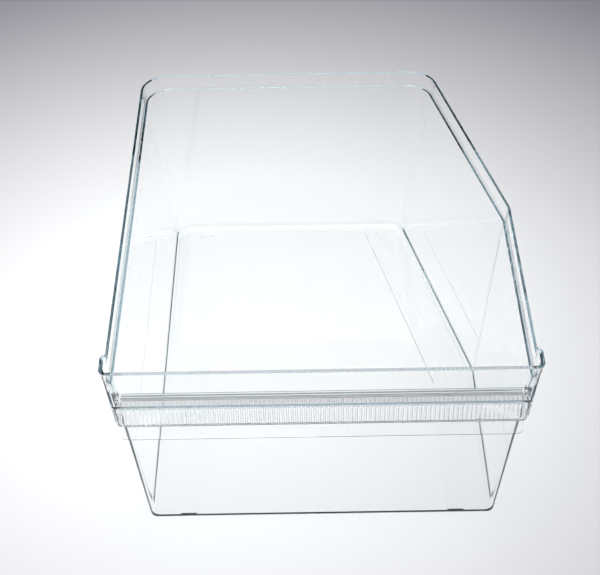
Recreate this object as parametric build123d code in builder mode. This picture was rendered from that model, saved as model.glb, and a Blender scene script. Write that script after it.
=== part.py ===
"""Clear salad storage box for a refrigerator: a moulded tub with one long cut rear corner,
and a ribbed grip strip that sits in the finger pocket behind the front skirt.

Millimetres, +Z up, +Y to the back. The origin is on the surface that the box stands on,
midway between the sides and midway between the front face and the back rim.
"""
from build123d import *
from math import hypot, radians, tan
import os

os.makedirs("parts", exist_ok=True)

# Tub as a whole
rim_width = 250.0
tub_depth = 326.0
rim_height = 133.5
wall = 3.2
floor_wall = 2.2
floor_thickness = 2.4
cut_across = 40.0
cut_along = 168.0

# Draft angles of the walls, in degrees
side_draft = 7.1
back_draft = 5.0
cut_draft = 8.5

# Rim band, thinner than the wall below it, so that a step runs round inside
rim_band = 10.0
rim_thickness = 1.7

# Plan corner radii of the outer faces
front_panel_radius = 3.0
pocket_corner_radius = 5.0
cut_side_radius = 10.0
cut_rear_radius = 20.0
rear_radius = 20.0
floor_front_radius = 5.0
floor_cut_side_radius = 9.0
floor_cut_rear_radius = 14.0
floor_rear_radius = 14.0
floor_round = 2.6
floor_inner_round = 5.0

# Front panel: a raised band, a little proud of the panel, with ends that flare past the side rims
panel_wall = 2.0
panel_step = 0.7
front_rise = 4.5
ear_flare = 2.0
ear_sink = 0.4
ear_wall = 2.2
ear_hollow_drop = 11.5
ear_depth = 18.0
ear_front_radius = 5.5
ear_back_radius = 3.0

# Finger pocket under the ledge, behind the skirt
ledge_drop = 21.8
skirt_drop = 37.2
skirt_wall = 3.0
skirt_radius = 4.0
pocket_setback = 13.0
foot_setback = 15.6
ledge_round = 6.0

# Raised strips on the floor
strip_height = 1.0
strip_width = 10.0
strip_inset = 36.0
strip_cut_inset = 40.5
strip_front_gap = 16.8
strip_rear_gap = 25.0

# Ribs inside the skirt and under the grip strip's web
rib_pitch = 2.66
rib_radius = 1.4
rib_depth = 0.35

# Grip strip
fit_clearance = 0.15
seat_clearance = 0.05
web_thickness = 1.5
rear_leg_top = 1.5
rear_leg_tip = 0.8
rear_leg_drop = 60.5
grip_inset = 2.0
grip_radius = 4.0
grip_end_cap = 1.2

# Every cut runs this far past what it cuts
overrun = 1.0

# Levels
rim_z = rim_height
front_top_z = rim_z + front_rise
band_z = rim_z - rim_band
ledge_top_z = rim_z - ledge_drop
ledge_under_z = ledge_top_z - panel_wall
skirt_z = rim_z - skirt_drop
grip_tip_z = rim_z - rear_leg_drop
floor_top_z = floor_thickness

# Sides of the plan
right_x = rim_width / 2
back_y = tub_depth / 2
front_y = -tub_depth / 2
skirt_y = front_y + panel_step
panel_inner_y = skirt_y + panel_wall
skirt_inner_y = skirt_y + skirt_wall
cut_slant = hypot(cut_across, cut_along)
thin_end_y = front_y + pocket_setback + panel_wall

rim_radii = (cut_side_radius, cut_rear_radius, rear_radius)
floor_radii = (floor_cut_side_radius, floor_cut_rear_radius, floor_rear_radius)


def drafted(z, draft):
    """How far a drafted wall's outer face lies inside its rim at a height."""
    return (rim_z - z) * tan(radians(draft))


def side_x(z):
    """The outer face of the right wall at a height."""
    return right_x - drafted(z, side_draft)


def front_wall_y(z):
    """The outer face of the wall behind the finger pocket at a height."""
    lean = (foot_setback - pocket_setback) / ledge_under_z
    return front_y + foot_setback - lean * z


def cut_y(x, inset):
    """Y on the cut corner's line, moved in by an inset, at a given X."""
    return back_y - cut_along + ((right_x - x) * cut_along - inset * cut_slant) / cut_across


def cut_x(y, inset):
    """X on the cut corner's line, moved in by an inset, at a given Y."""
    return right_x - ((y - back_y + cut_along) * cut_across + inset * cut_slant) / cut_along


def tub_plan(z, thickness, front_corners, front_rounds, radii):
    """The tub's plan at a height, at a depth inside its outer faces.

    front_corners are the corners on the front right, from the middle outwards, with front_rounds
    as their radii. radii are those of the cut corner's side end, its rear end and the rear left.
    """
    side = side_x(z) - thickness
    back = back_y - drafted(z, back_draft) - thickness
    cut_inset = drafted(z, cut_draft) + thickness
    front_left = [(-x, y) for x, y in reversed(front_corners)]
    rear_corners = [
        (side, cut_y(side, cut_inset)),
        (cut_x(back, cut_inset), back),
        (-side, back),
    ]
    rear_rounds = [radius - thickness for radius in radii]
    rounds = front_rounds[::-1] + front_rounds + rear_rounds
    with BuildSketch() as plan:
        with BuildLine():
            FilletPolyline(*front_left, *front_corners, *rear_corners, radius=rounds, close=True)
        make_face()
    return plan.sketch


def upper_plan(z, thickness, front):
    """Plan above the ledge, where the tub reaches forward to the front panel."""
    front_thickness = min(thickness, panel_wall)
    front_corners = [(side_x(z) - front_thickness, front), (side_x(z) - thickness, thin_end_y)]
    return tub_plan(z, thickness, front_corners, [front_panel_radius - front_thickness, 0], rim_radii)


def lower_plan(z, thickness, front_thickness, front_radius, radii):
    """Plan below the ledge, with the wall behind the finger pocket in front."""
    front_corner = (side_x(z) - thickness, front_wall_y(z) + front_thickness)
    return tub_plan(z, thickness, [front_corner], [front_radius], radii)


def side_thickness(y):
    """Thickness of a side wall over the ledge at a Y: thinner towards the front panel."""
    thin_share = (thin_end_y - y) / (thin_end_y - panel_inner_y)
    return wall - (wall - panel_wall) * thin_share


def ledge_edge_plan(z):
    """Plan of the ledge's rear edge at a height, a little past the faces of the side walls."""
    fore_half = side_x(z) - side_thickness(ledge_round_y) + fit_clearance
    rear_half = side_x(z) - wall + fit_clearance
    with BuildSketch() as plan:
        with BuildLine():
            Polyline(
                (-fore_half, ledge_round_y),
                (fore_half, ledge_round_y),
                (rear_half, ledge_y + overrun),
                (-rear_half, ledge_y + overrun),
                close=True,
            )
        make_face()
    return plan.sketch


# Rear edge of the ledge, and where its rounding starts
ledge_y = front_wall_y(ledge_top_z) + panel_wall
ledge_round_y = ledge_y - ledge_round

# Length of the grip strip and of the ribs between its closed ends
grip_half_length = side_x(ledge_under_z) - grip_inset
rib_zone_half = grip_half_length - grip_end_cap - rib_radius

# What the rounding takes off the ledge's rear edge
with BuildPart() as ledge_edge:
    ledge_round_z = ledge_top_z - ledge_round
    with BuildSketch(Plane.XY.offset(ledge_round_z)):
        add(ledge_edge_plan(ledge_round_z))
    with BuildSketch(Plane.XY.offset(ledge_top_z + overrun)):
        add(ledge_edge_plan(ledge_top_z + overrun))
    loft(ruled=True)
    with Locations(Location((0, ledge_round_y, ledge_round_z), (0, 90, 0))):
        Cylinder(ledge_round, rim_width, mode=Mode.SUBTRACT)

# The space inside the tub
with BuildPart() as cavity:
    with BuildSketch(Plane.XY.offset(floor_top_z)):
        add(lower_plan(floor_top_z, floor_wall, panel_wall, 0, floor_radii))
    with BuildSketch(Plane.XY.offset(ledge_top_z)):
        add(lower_plan(ledge_top_z, wall, panel_wall, 0, rim_radii))
    loft(ruled=True)
    floor_edges = cavity.faces().sort_by(Axis.Z)[0].edges().sort_by(Axis.Y)
    fillet(floor_edges[1:], floor_inner_round)

    # Forward over the ledge, up to the step under the rim band
    with BuildSketch(Plane.XY.offset(ledge_top_z)):
        add(upper_plan(ledge_top_z, wall, panel_inner_y))
    with BuildSketch(Plane.XY.offset(band_z)):
        add(upper_plan(band_z, wall, panel_inner_y))
    loft(ruled=True)

    # Rounded rear edge of the ledge
    add(ledge_edge.part)

    # Inside the rim band, and on past the raised front edge
    above_z = front_top_z + overrun
    with BuildSketch(Plane.XY.offset(band_z)):
        add(upper_plan(band_z, rim_thickness, panel_inner_y))
    with BuildSketch(Plane.XY.offset(above_z)):
        add(upper_plan(above_z, rim_thickness, panel_inner_y))
    loft(ruled=True)

# The front panel's raised edge and its flared ends, and the space inside them
ear_low_side = side_x(band_z) - ear_sink
ear_high_side = right_x + ear_flare
ear_back_y = front_y + ear_depth


def ear_plan(side, thickness, front):
    """Plan of the raised edge at a depth inside its outer faces."""
    front_round = ear_front_radius - thickness
    back_round = ear_back_radius - thickness
    with BuildSketch() as plan:
        with BuildLine():
            FilletPolyline(
                (-side + thickness, front),
                (side - thickness, front),
                (side - thickness, ear_back_y - thickness),
                (-side + thickness, ear_back_y - thickness),
                radius=[front_round, front_round, back_round, back_round],
                close=True,
            )
        make_face()
    return plan.sketch


with BuildPart() as ear_space:
    hollow_z = front_top_z - ear_hollow_drop
    hollow_y = panel_inner_y + ear_wall - rim_thickness
    with BuildSketch(Plane.XY.offset(hollow_z)):
        add(ear_plan(side_x(hollow_z), ear_wall, hollow_y))
    with BuildSketch(Plane.XY.offset(above_z)):
        add(ear_plan(ear_high_side, ear_wall, hollow_y))
    loft(ruled=True)

# Skirt in front of the finger pocket, with rounded lower corners
with BuildPart() as skirt:
    with BuildSketch(Plane.XY.offset(skirt_z)):
        add(upper_plan(skirt_z, 0, skirt_y))
    with BuildSketch(Plane.XY.offset(ledge_under_z)):
        add(upper_plan(ledge_under_z, 0, skirt_y))
    loft(ruled=True)
    split(bisect_by=Plane.XZ.offset(-skirt_inner_y), keep=Keep.TOP)

    # Rounded lower corners
    skirt_side = side_x(skirt_z)
    skirt_end = skirt_side - skirt_radius
    for turn in (-1, 1):
        with BuildSketch(Plane.XZ.offset(-skirt_y + overrun)):
            with BuildLine():
                Line((turn * skirt_end, skirt_z), (turn * (skirt_side + overrun), skirt_z))
                Line((turn * (skirt_side + overrun), skirt_z),
                     (turn * (skirt_side + overrun), skirt_z + skirt_radius))
                Line((turn * (skirt_side + overrun), skirt_z + skirt_radius),
                     (turn * skirt_side, skirt_z + skirt_radius))
                RadiusArc((turn * skirt_side, skirt_z + skirt_radius), (turn * skirt_end, skirt_z),
                          turn * skirt_radius)
            make_face()
        extrude(amount=-skirt_wall - 2 * overrun, mode=Mode.SUBTRACT)

with BuildPart() as tub:
    # Drafted walls from the floor to the ledge, with a rounded foot
    with BuildSketch():
        add(lower_plan(0, 0, 0, floor_front_radius, floor_radii))
    with BuildSketch(Plane.XY.offset(ledge_under_z)):
        add(lower_plan(ledge_under_z, 0, 0, pocket_corner_radius, rim_radii))
    loft(ruled=True)
    fillet(tub.faces().sort_by(Axis.Z)[0].edges(), floor_round)

    # From the ledge to the rim, reaching forward to the front panel
    with BuildSketch(Plane.XY.offset(ledge_under_z)):
        add(upper_plan(ledge_under_z, 0, skirt_y))
    with BuildSketch(Plane.XY.offset(rim_z)):
        add(upper_plan(rim_z, 0, skirt_y))
    loft(ruled=True)

    # Raised front edge with its flared ends
    with BuildSketch(Plane.XY.offset(band_z)):
        add(ear_plan(ear_low_side, 0, front_y))
    with BuildSketch(Plane.XY.offset(front_top_z)):
        add(ear_plan(ear_high_side, 0, front_y))
    loft(ruled=True)

    add(cavity.part, mode=Mode.SUBTRACT)
    add(ear_space.part, mode=Mode.SUBTRACT)

    add(skirt.part)

    # Rounded corner between the ledge and the wall behind the finger pocket
    nook_y = front_wall_y(ledge_under_z)
    nook_round = ledge_round - panel_wall
    nook_half = side_x(ledge_under_z) - pocket_corner_radius
    with BuildSketch(Plane.YZ.offset(-nook_half)):
        with BuildLine():
            Polyline(
                (nook_y - nook_round, ledge_under_z),
                (nook_y - nook_round, ledge_under_z + panel_wall / 2),
                (nook_y + panel_wall / 2, ledge_under_z + panel_wall / 2),
                (nook_y + panel_wall / 2, ledge_under_z - nook_round),
                (nook_y, ledge_under_z - nook_round),
            )
            RadiusArc(
                (nook_y, ledge_under_z - nook_round),
                (nook_y - nook_round, ledge_under_z),
                -nook_round,
            )
        make_face()
    extrude(amount=2 * nook_half)

    # Half-round ribs down the inside of the skirt
    rib_count = int(2 * rib_zone_half / rib_pitch) + 1
    rib_sink = rib_radius - rib_depth
    with BuildSketch(Plane.XY.offset(skirt_z)) as skirt_ribs:
        with Locations((0, skirt_inner_y - rib_sink)):
            with GridLocations(rib_pitch, rib_pitch, rib_count, 1):
                Circle(rib_radius)
        with Locations((0, skirt_inner_y - skirt_wall / 2)):
            Rectangle(rim_width, 2 * rib_radius, align=(Align.CENTER, Align.MAX), mode=Mode.SUBTRACT)
    extrude(amount=ledge_under_z - skirt_z)

    # Raised strips on the floor, one along the left and one round the cut corner
    strip_x = right_x - strip_inset
    strip_inner_x = strip_x - strip_width
    strip_front_y = front_y + strip_front_gap
    strip_back_y = back_y - strip_rear_gap
    strip_inner_inset = strip_cut_inset + strip_width
    floor_middle_z = floor_thickness / 2
    with BuildSketch(Plane.XY.offset(floor_middle_z)):
        with BuildLine():
            Polyline(
                (-strip_x, strip_front_y),
                (-strip_inner_x, strip_front_y),
                (-strip_inner_x, strip_back_y),
                (-strip_x, strip_back_y),
                close=True,
            )
        make_face()
        with BuildLine():
            Polyline(
                (strip_x, strip_front_y),
                (strip_x, cut_y(strip_x, strip_cut_inset)),
                (cut_x(strip_back_y, strip_cut_inset), strip_back_y),
                (cut_x(strip_back_y, strip_inner_inset), strip_back_y),
                (strip_inner_x, cut_y(strip_inner_x, strip_inner_inset)),
                (strip_inner_x, strip_front_y),
                close=True,
            )
        make_face()
    extrude(amount=floor_top_z + strip_height - floor_middle_z)

tub.part.label = "tub"
export_step(tub.part, "parts/tub.step")

with BuildPart() as grip_strip:
    web_top_z = ledge_under_z - seat_clearance
    web_z = web_top_z - web_thickness
    web_front_y = skirt_inner_y + rib_depth + fit_clearance
    wall_top_y = front_wall_y(ledge_under_z) - fit_clearance
    wall_tip_y = front_wall_y(grip_tip_z) - fit_clearance

    # Web under the ledge, rounded into a long tapered rear leg on the wall
    bend_y = wall_top_y - nook_round
    bend_z = web_top_z - nook_round
    leg_y = wall_top_y - rear_leg_top
    with BuildSketch(Plane.YZ.offset(-grip_half_length)):
        with BuildLine():
            Line((web_front_y, web_top_z), (bend_y, web_top_z))
            RadiusArc((bend_y, web_top_z), (wall_top_y, bend_z), nook_round)
            Polyline(
                (wall_top_y, bend_z),
                (wall_tip_y, grip_tip_z),
                (wall_tip_y - rear_leg_tip, grip_tip_z),
                (leg_y, bend_z),
            )
            RadiusArc((leg_y, bend_z), (bend_y, web_z), rear_leg_top - nook_round)
            Polyline((bend_y, web_z), (web_front_y, web_z), (web_front_y, web_top_z))
        make_face()
    extrude(amount=2 * grip_half_length)
    tip_corners = grip_strip.edges().filter_by(Axis.Y).group_by(Axis.Z)[0]
    fillet(tip_corners, grip_radius)

    # Closed ends
    cap_z = skirt_z + fit_clearance
    leg_middle_y = wall_top_y - rear_leg_top / 2
    web_middle_z = web_z + web_thickness / 2
    for end in (-grip_half_length, grip_half_length - grip_end_cap):
        with BuildSketch(Plane.YZ.offset(end)):
            with BuildLine():
                Polyline(
                    (web_front_y, cap_z),
                    (leg_middle_y, cap_z),
                    (leg_middle_y, bend_z),
                    (bend_y, web_middle_z),
                    (web_front_y, web_middle_z),
                    close=True,
                )
            make_face()
        extrude(amount=grip_end_cap)

    # Half-round ribs back along the underside of the web
    with BuildSketch(Plane.XZ.offset(-web_front_y)):
        with Locations((0, web_z + rib_sink)):
            with GridLocations(rib_pitch, rib_pitch, rib_count, 1):
                Circle(rib_radius)
        with Locations((0, web_z + web_thickness / 2)):
            Rectangle(rim_width, 2 * rib_radius, align=(Align.CENTER, Align.MIN), mode=Mode.SUBTRACT)
    extrude(amount=web_front_y - bend_y)

grip_strip.part.label = "grip_strip"
export_step(grip_strip.part, "parts/grip_strip.step")
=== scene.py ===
"""Studio scene of a clear salad storage box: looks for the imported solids, light and camera.

Metres, in the part's own frame: +Z up, +Y to the back, the foot of the box at Z = 0.
"""
from math import pi, radians

import bpy
from mathutils import Matrix, Vector

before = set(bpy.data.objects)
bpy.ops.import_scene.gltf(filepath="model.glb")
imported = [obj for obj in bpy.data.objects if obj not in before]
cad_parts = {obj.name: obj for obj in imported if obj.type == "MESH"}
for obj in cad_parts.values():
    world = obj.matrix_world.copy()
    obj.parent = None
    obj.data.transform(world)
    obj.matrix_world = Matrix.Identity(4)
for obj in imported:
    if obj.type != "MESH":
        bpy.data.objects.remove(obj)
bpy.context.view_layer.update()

# Camera, from the perspective of the rims, the floor and the upright corners
CAMERA_AT = (-0.0087, -0.7826, 0.7175)
CAMERA_PITCH = radians(39.83)
CAMERA_YAW = radians(0.242)
CAMERA_ROLL = radians(-1.097)
CAMERA_LENS = 90.0
SENSOR_WIDTH = 36.0

# Clear plastic: its polish, the tint of long paths through it, haze and ripples, and its shadow
PLASTIC_COLOUR = (1.0, 1.0, 1.0, 1.0)
PLASTIC_IOR = 1.52
TRANSMISSION_WEIGHT = 1.0
EDGE_COLOUR = (0.40, 0.62, 0.68, 1.0)
EDGE_DENSITY = 9.5
HAZE_SCALE = 55.0
HAZE_ROUGHNESS = (0.005, 0.035)
RIPPLE_SCALE = 14.0
RIPPLE_STRENGTH = 0.12
RIPPLE_HEIGHT = 0.0004
SHADOW_TINT = (0.995, 0.997, 0.997, 1.0)

# Bounces enough for light that is guided along the walls
LIGHT_BOUNCES = 48

# Room round the table, from the front to the back
ROOM_STRENGTH = 1.0
ROOM_STOPS = (
    (0.0, (0.58, 0.59, 0.61, 1.0)),
    (0.5, (0.45, 0.46, 0.48, 1.0)),
    (1.0, (1.0, 1.0, 1.02, 1.0)),
)

# Dark ceiling beyond the softbox
DARK_COLOUR = (0.035, 0.037, 0.042, 1.0)
DARK_TOWARDS = (0.0, 0.45, 0.893)
DARK_FADE = (0.38, 0.75)

# Pale panels to the left and right
SIDE_COLOUR = (0.72, 0.74, 0.76, 1.0)
SIDE_FADE = (0.25, 0.75)

# Softbox over the box, a little to the front and left
LAMP_AT = (-0.16, -0.16, 0.80)
LAMP_AIM = (-0.10, -0.08, 0.0)
LAMP_SIZE = (0.9, 0.9)
LAMP_POWER = 9.7

# Pale table whose colour carries painted shade, darker away from the box as a painted pool of
# light round it, a hair under the foot so that no faces coincide
FLOOR_SIZE = 8.0
FLOOR_HEIGHT = -0.0005
FLOOR_ROUGHNESS = 0.6
FLOOR_LIT = (0.88, 0.88, 0.88, 1.0)
FLOOR_PAINTED_SHADE = (0.26, 0.25, 0.30, 1.0)
FLOOR_LIGHT_CENTRE = (-0.05, 0.085, 0.0)
FLOOR_SHADE_FADE = (0.14, 0.58)


def new_material(name):
    material = bpy.data.materials.new(name)
    material.use_nodes = True
    nodes = material.node_tree.nodes
    nodes.clear()
    return material, nodes, material.node_tree.links


def clear_plastic(name):
    """Polished clear moulding that turns blue-green where light crosses much of it."""
    material, nodes, links = new_material(name)
    output = nodes.new("ShaderNodeOutputMaterial")
    shader = nodes.new("ShaderNodeBsdfPrincipled")
    shader.inputs["Base Color"].default_value = PLASTIC_COLOUR
    shader.inputs["Transmission Weight"].default_value = TRANSMISSION_WEIGHT
    shader.inputs["IOR"].default_value = PLASTIC_IOR

    # Faint haze in the polish and slow ripples of the moulding
    where = nodes.new("ShaderNodeTexCoord")
    haze = nodes.new("ShaderNodeTexNoise")
    haze.inputs["Scale"].default_value = HAZE_SCALE
    haze_range = nodes.new("ShaderNodeMapRange")
    haze_range.inputs["To Min"].default_value = HAZE_ROUGHNESS[0]
    haze_range.inputs["To Max"].default_value = HAZE_ROUGHNESS[1]
    ripple = nodes.new("ShaderNodeTexNoise")
    ripple.inputs["Scale"].default_value = RIPPLE_SCALE
    bump = nodes.new("ShaderNodeBump")
    bump.inputs["Strength"].default_value = RIPPLE_STRENGTH
    bump.inputs["Distance"].default_value = RIPPLE_HEIGHT
    links.new(where.outputs["Object"], haze.inputs["Vector"])
    links.new(haze.outputs["Fac"], haze_range.inputs["Value"])
    links.new(haze_range.outputs["Result"], shader.inputs["Roughness"])
    links.new(where.outputs["Object"], ripple.inputs["Vector"])
    links.new(ripple.outputs["Fac"], bump.inputs["Height"])
    links.new(bump.outputs["Normal"], shader.inputs["Normal"])

    # Colour that shows only in long paths, and light let through for shadows
    volume = nodes.new("ShaderNodeVolumeAbsorption")
    volume.inputs["Color"].default_value = EDGE_COLOUR
    volume.inputs["Density"].default_value = EDGE_DENSITY
    path = nodes.new("ShaderNodeLightPath")
    lit_through = nodes.new("ShaderNodeMath")
    lit_through.operation = "MAXIMUM"
    clear = nodes.new("ShaderNodeBsdfTransparent")
    clear.inputs["Color"].default_value = SHADOW_TINT
    mix = nodes.new("ShaderNodeMixShader")
    links.new(path.outputs["Is Shadow Ray"], lit_through.inputs[0])
    links.new(path.outputs["Is Diffuse Ray"], lit_through.inputs[1])
    links.new(lit_through.outputs["Value"], mix.inputs["Fac"])
    links.new(shader.outputs["BSDF"], mix.inputs[1])
    links.new(clear.outputs["BSDF"], mix.inputs[2])
    links.new(mix.outputs["Shader"], output.inputs["Surface"])
    links.new(volume.outputs["Volume"], output.inputs["Volume"])
    return material


def table_with_painted_shade(name):
    """Pale table with painted shade: its colour darkens away from the box, a painted pool of
    light.
    """
    material, nodes, links = new_material(name)
    output = nodes.new("ShaderNodeOutputMaterial")
    shader = nodes.new("ShaderNodeBsdfPrincipled")
    shader.inputs["Roughness"].default_value = FLOOR_ROUGHNESS
    where = nodes.new("ShaderNodeTexCoord")
    away = nodes.new("ShaderNodeVectorMath")
    away.operation = "DISTANCE"
    away.inputs[1].default_value = FLOOR_LIGHT_CENTRE
    # Painted shade: the base colour goes from the lit colour near the box to a painted shade
    # farther off
    shade_fade = nodes.new("ShaderNodeMapRange")
    shade_fade.inputs["From Min"].default_value = FLOOR_SHADE_FADE[0]
    shade_fade.inputs["From Max"].default_value = FLOOR_SHADE_FADE[1]
    painted_shade = nodes.new("ShaderNodeMix")
    painted_shade.data_type = "RGBA"
    painted_shade.inputs["A"].default_value = FLOOR_LIT
    painted_shade.inputs["B"].default_value = FLOOR_PAINTED_SHADE
    links.new(where.outputs["Object"], away.inputs[0])
    links.new(away.outputs["Value"], shade_fade.inputs["Value"])
    links.new(shade_fade.outputs["Result"], painted_shade.inputs["Factor"])
    links.new(painted_shade.outputs["Result"], shader.inputs["Base Color"])
    links.new(shader.outputs["BSDF"], output.inputs["Surface"])
    return material


def dress(node, material):
    """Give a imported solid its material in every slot."""
    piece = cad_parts[node]
    if not piece.material_slots:
        piece.data.materials.append(material)
    for place in piece.material_slots:
        place.material = material


def build_floor():
    bpy.ops.mesh.primitive_plane_add(size=FLOOR_SIZE, location=(0.0, 0.0, FLOOR_HEIGHT))
    floor = bpy.context.object
    floor.name = "floor"
    floor.data.materials.append(table_with_painted_shade("table"))


def area_light(name, at, aim, size, power):
    data = bpy.data.lights.new(name, "AREA")
    data.energy = power
    data.shape = "RECTANGLE"
    data.size, data.size_y = size
    lamp = bpy.data.objects.new(name, data)
    lamp.location = at
    lamp.rotation_euler = (Vector(aim) - Vector(at)).to_track_quat("-Z", "Y").to_euler()
    bpy.context.collection.objects.link(lamp)


def soft_step(nodes, between):
    """A smooth step from 0 to 1 between two values."""
    step = nodes.new("ShaderNodeMapRange")
    step.interpolation_type = "SMOOTHSTEP"
    step.inputs["From Min"].default_value = between[0]
    step.inputs["From Max"].default_value = between[1]
    return step


def build_world():
    """Room with pale sides and a dark ceiling, which draws the edges of the clear walls."""
    world = bpy.data.worlds.new("studio")
    bpy.context.scene.world = world
    world.use_nodes = True
    nodes = world.node_tree.nodes
    links = world.node_tree.links
    shade = nodes["Background"]
    shade.inputs["Strength"].default_value = ROOM_STRENGTH
    where = nodes.new("ShaderNodeTexCoord")
    split = nodes.new("ShaderNodeSeparateXYZ")
    links.new(where.outputs["Generated"], split.inputs["Vector"])

    # Front to back: a direction's Y runs from -1 to 1
    depth = nodes.new("ShaderNodeMapRange")
    depth.inputs["From Min"].default_value = -1.0
    ramp = nodes.new("ShaderNodeValToRGB")
    stops = ramp.color_ramp.elements
    while len(stops) < len(ROOM_STOPS):
        stops.new(ROOM_STOPS[-1][0])
    for stop, (place, colour) in zip(stops, ROOM_STOPS):
        stop.position = place
        stop.color = colour
    links.new(split.outputs["Y"], depth.inputs["Value"])
    links.new(depth.outputs["Result"], ramp.inputs["Fac"])

    # Side panels
    aside = nodes.new("ShaderNodeMath")
    aside.operation = "ABSOLUTE"
    side_share = soft_step(nodes, SIDE_FADE)
    with_sides = nodes.new("ShaderNodeMix")
    with_sides.data_type = "RGBA"
    with_sides.inputs["B"].default_value = SIDE_COLOUR
    links.new(split.outputs["X"], aside.inputs[0])
    links.new(aside.outputs["Value"], side_share.inputs["Value"])
    links.new(side_share.outputs["Result"], with_sides.inputs["Factor"])
    links.new(ramp.outputs["Color"], with_sides.inputs["A"])

    # Dark ceiling
    towards = nodes.new("ShaderNodeVectorMath")
    towards.operation = "DOT_PRODUCT"
    towards.inputs[1].default_value = DARK_TOWARDS
    dark_share = soft_step(nodes, DARK_FADE)
    with_ceiling = nodes.new("ShaderNodeMix")
    with_ceiling.data_type = "RGBA"
    with_ceiling.inputs["B"].default_value = DARK_COLOUR
    links.new(where.outputs["Generated"], towards.inputs[0])
    links.new(towards.outputs["Value"], dark_share.inputs["Value"])
    links.new(dark_share.outputs["Result"], with_ceiling.inputs["Factor"])
    links.new(with_sides.outputs["Result"], with_ceiling.inputs["A"])
    links.new(with_ceiling.outputs["Result"], shade.inputs["Color"])


def build_camera():
    data = bpy.data.cameras.new("camera")
    data.lens = CAMERA_LENS
    data.sensor_width = SENSOR_WIDTH
    data.sensor_fit = "HORIZONTAL"
    camera = bpy.data.objects.new("camera", data)
    turn = Matrix.Rotation(CAMERA_YAW, 4, "Z")
    tilt = Matrix.Rotation(pi / 2 - CAMERA_PITCH, 4, "X")
    roll = Matrix.Rotation(CAMERA_ROLL, 4, "Z")
    camera.matrix_world = Matrix.Translation(CAMERA_AT) @ turn @ tilt @ roll
    bpy.context.collection.objects.link(camera)
    bpy.context.scene.camera = camera


def set_bounces():
    cycles = bpy.context.scene.cycles
    cycles.max_bounces = LIGHT_BOUNCES
    cycles.glossy_bounces = LIGHT_BOUNCES
    cycles.transmission_bounces = LIGHT_BOUNCES
    cycles.transparent_max_bounces = LIGHT_BOUNCES


dress("tub", clear_plastic("clear_tub"))
dress("grip_strip", clear_plastic("clear_grip"))
build_floor()
build_world()
area_light("softbox", LAMP_AT, LAMP_AIM, LAMP_SIZE, LAMP_POWER)
build_camera()
set_bounces()
bpy.context.scene.view_settings.view_transform = "Standard"
